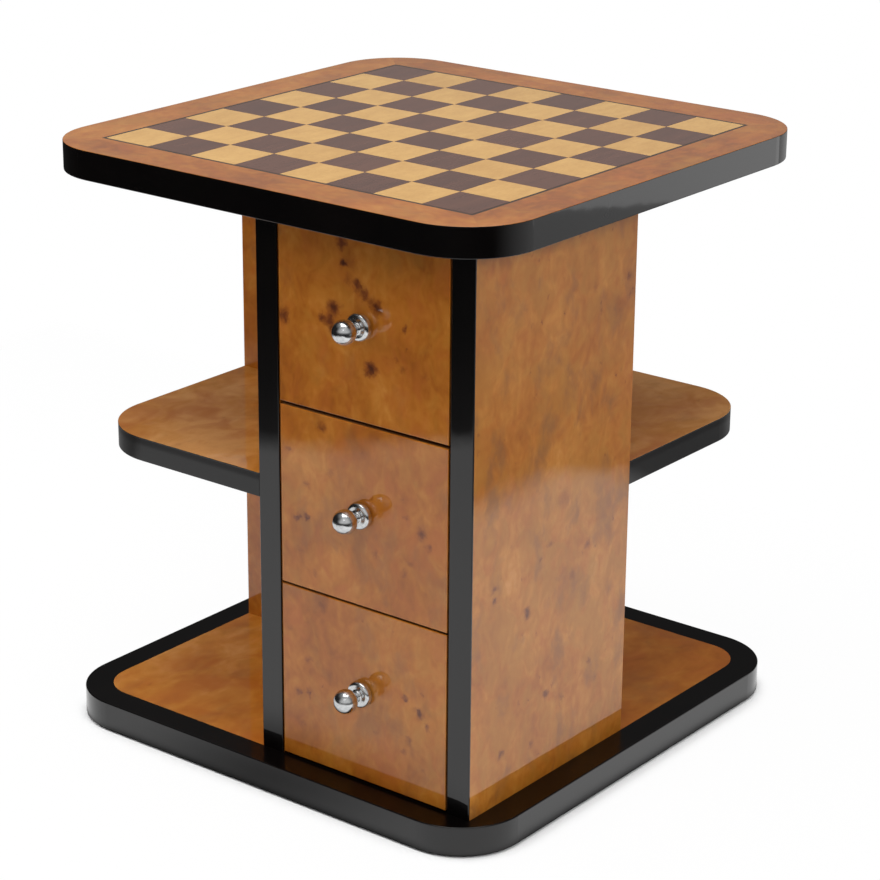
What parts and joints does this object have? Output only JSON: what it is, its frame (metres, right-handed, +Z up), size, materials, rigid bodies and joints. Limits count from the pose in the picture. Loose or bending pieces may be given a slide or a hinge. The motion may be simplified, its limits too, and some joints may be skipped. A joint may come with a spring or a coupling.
{
  "type": "chess table",
  "caption": "Square chess table with an inlaid board top, drawer towers set as a pinwheel on a square base, and quarter shelves in the open corners.",
  "frame": {"origin": "on the floor under the centre of the base", "axes": "+Z up; the front tower's drawers open towards -Y, its side panel faces +X"},
  "size_m": [0.6, 0.613, 0.668],
  "materials": {
    "burl_veneer": "burl veneer under high-gloss clear lacquer",
    "black_lacquer": "polished black lacquer on wood edging",
    "light_inlay": "pale straight-grained veneer under gloss lacquer",
    "dark_inlay": "dark straight-grained veneer under gloss lacquer",
    "chrome": "polished chrome plate",
    "beech": "sanded, clear sealed",
    "plywood": "thin plywood, clear sealed",
    "core_board": "raw wood board",
    "felt": "black felt",
    "steel": "zinc-plated steel"
  },
  "bodies": {
    "carcass": {"felt_pads": "felt", "base_board": "black_lacquer", "base_burl_field": "burl_veneer", "base_screws": "steel", "carcass_dowels": "beech", "central_partition": "burl_veneer", "right_side_panel": "burl_veneer", "left_side_panel": "burl_veneer", "front_tower_back": "burl_veneer", "rear_tower_back": "burl_veneer", "panel_edging": "black_lacquer", "shelf_dowels": "beech", "left_shelf": "burl_veneer", "right_shelf": "burl_veneer", "shelf_edging": "black_lacquer", "drawer_runners": "beech", "drawer_stops": "beech", "top_core": "core_board", "top_edging": "black_lacquer", "top_border": "burl_veneer", "top_stringing": "dark_inlay", "light_squares": "light_inlay", "dark_squares": "dark_inlay"},
    "front_bottom_drawer": {"front_bottom_drawer_front": "burl_veneer", "front_bottom_drawer_sides": "beech", "front_bottom_drawer_back": "beech", "front_bottom_drawer_bottom": "plywood", "front_bottom_drawer_knob": "chrome", "front_bottom_drawer_knob_screw": "steel"},
    "front_middle_drawer": {"front_middle_drawer_front": "burl_veneer", "front_middle_drawer_sides": "beech", "front_middle_drawer_back": "beech", "front_middle_drawer_bottom": "plywood", "front_middle_drawer_knob": "chrome", "front_middle_drawer_knob_screw": "steel"},
    "front_top_drawer": {"front_top_drawer_front": "burl_veneer", "front_top_drawer_sides": "beech", "front_top_drawer_back": "beech", "front_top_drawer_bottom": "plywood", "front_top_drawer_knob": "chrome", "front_top_drawer_knob_screw": "steel"},
    "rear_bottom_drawer": {"rear_bottom_drawer_front": "burl_veneer", "rear_bottom_drawer_sides": "beech", "rear_bottom_drawer_back": "beech", "rear_bottom_drawer_bottom": "plywood", "rear_bottom_drawer_knob": "chrome", "rear_bottom_drawer_knob_screw": "steel"},
    "rear_middle_drawer": {"rear_middle_drawer_front": "burl_veneer", "rear_middle_drawer_sides": "beech", "rear_middle_drawer_back": "beech", "rear_middle_drawer_bottom": "plywood", "rear_middle_drawer_knob": "chrome", "rear_middle_drawer_knob_screw": "steel"},
    "rear_top_drawer": {"rear_top_drawer_front": "burl_veneer", "rear_top_drawer_sides": "beech", "rear_top_drawer_back": "beech", "rear_top_drawer_bottom": "plywood", "rear_top_drawer_knob": "chrome", "rear_top_drawer_knob_screw": "steel"}
  },
  "joints": [
    {"name": "front_bottom_drawer_slide", "type": "slide", "parent": "carcass", "child": "front_bottom_drawer", "axis": [0, -1, 0], "range_m": [0, 0.18]},
    {"name": "front_middle_drawer_slide", "type": "slide", "parent": "carcass", "child": "front_middle_drawer", "axis": [0, -1, 0], "range_m": [0, 0.18]},
    {"name": "front_top_drawer_slide", "type": "slide", "parent": "carcass", "child": "front_top_drawer", "axis": [0, -1, 0], "range_m": [0, 0.18]},
    {"name": "rear_bottom_drawer_slide", "type": "slide", "parent": "carcass", "child": "rear_bottom_drawer", "axis": [0, 1, 0], "range_m": [0, 0.18]},
    {"name": "rear_middle_drawer_slide", "type": "slide", "parent": "carcass", "child": "rear_middle_drawer", "axis": [0, 1, 0], "range_m": [0, 0.18]},
    {"name": "rear_top_drawer_slide", "type": "slide", "parent": "carcass", "child": "rear_top_drawer", "axis": [0, 1, 0], "range_m": [0, 0.18]}
  ]
}
